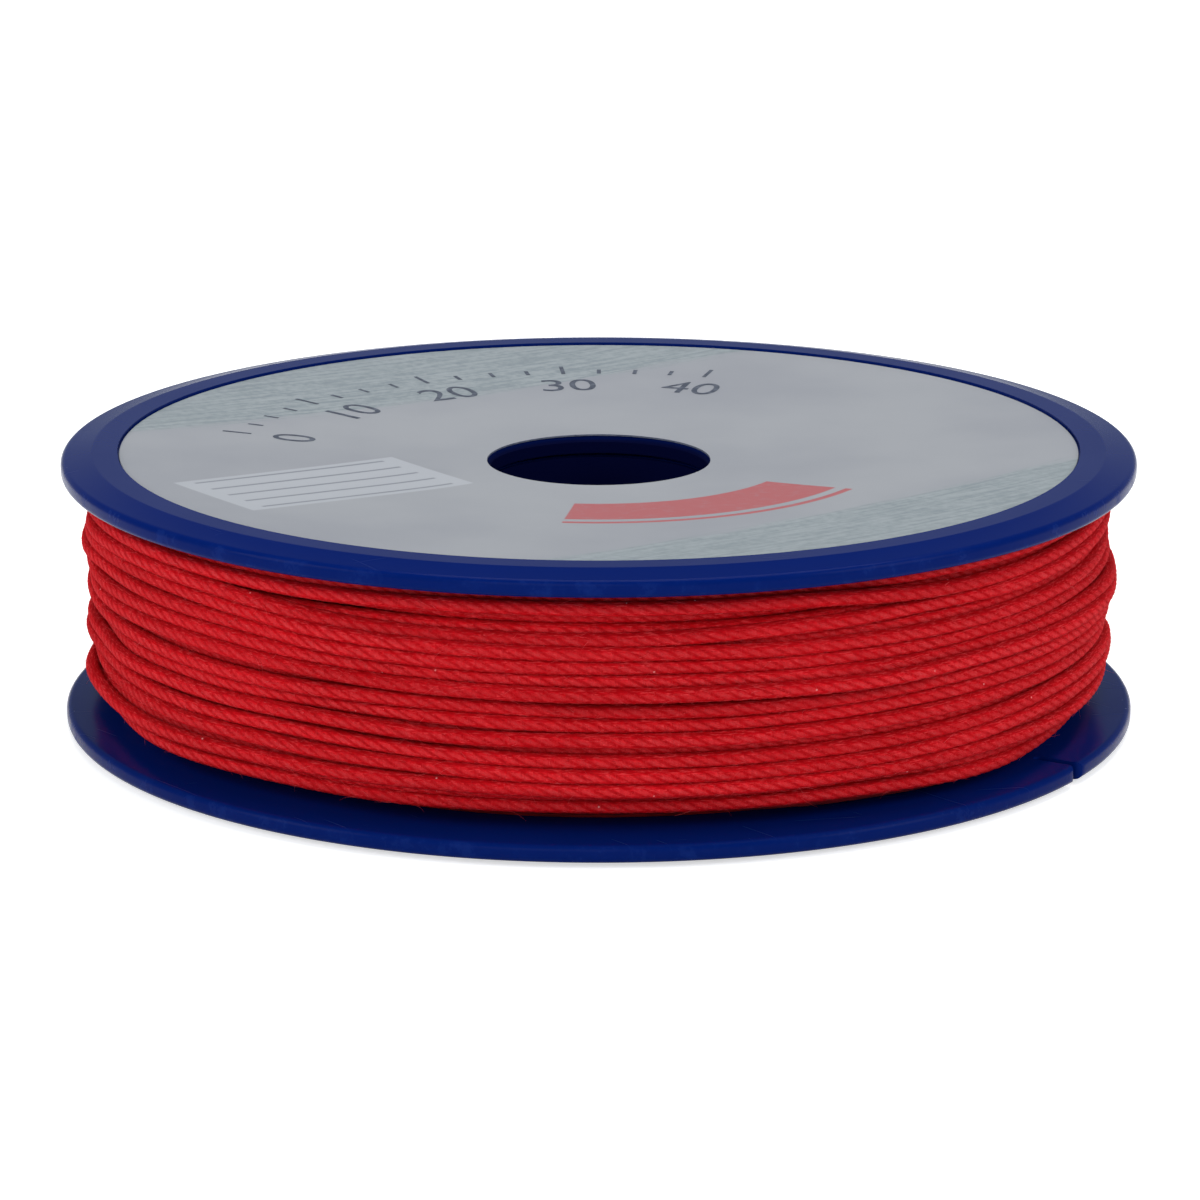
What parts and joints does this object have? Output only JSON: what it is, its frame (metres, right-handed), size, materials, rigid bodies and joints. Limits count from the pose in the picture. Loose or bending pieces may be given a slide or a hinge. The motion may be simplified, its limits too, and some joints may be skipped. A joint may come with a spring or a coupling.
{
  "type": "string reel",
  "caption": "Flanged plastic reel on a central bore, full of red twisted twine, with a round label on its upper flange.",
  "frame": {"origin": "centre of the underside of the lower flange, on the reel's axis", "axes": "+Z along the reel's axis, from the lower flange to the labelled one; -Y towards the viewer of the picture"},
  "size_m": [0.078, 0.078, 0.0204],
  "materials": {
    "blue_plastic_body": "moulded, satin gloss",
    "blue_plastic_cap": "moulded, satin gloss",
    "label_card": "coated card label",
    "inner_twine": "twisted twine, inner layers",
    "outer_twine": "twisted twine, outer layer"
  },
  "bodies": {
    "root": {"reel_body": "blue_plastic_body", "reel_cap": "blue_plastic_cap", "label_disc": "label_card", "twine_pack": "inner_twine", "twine_outer_layer": "outer_twine"}
  },
  "joints": []
}
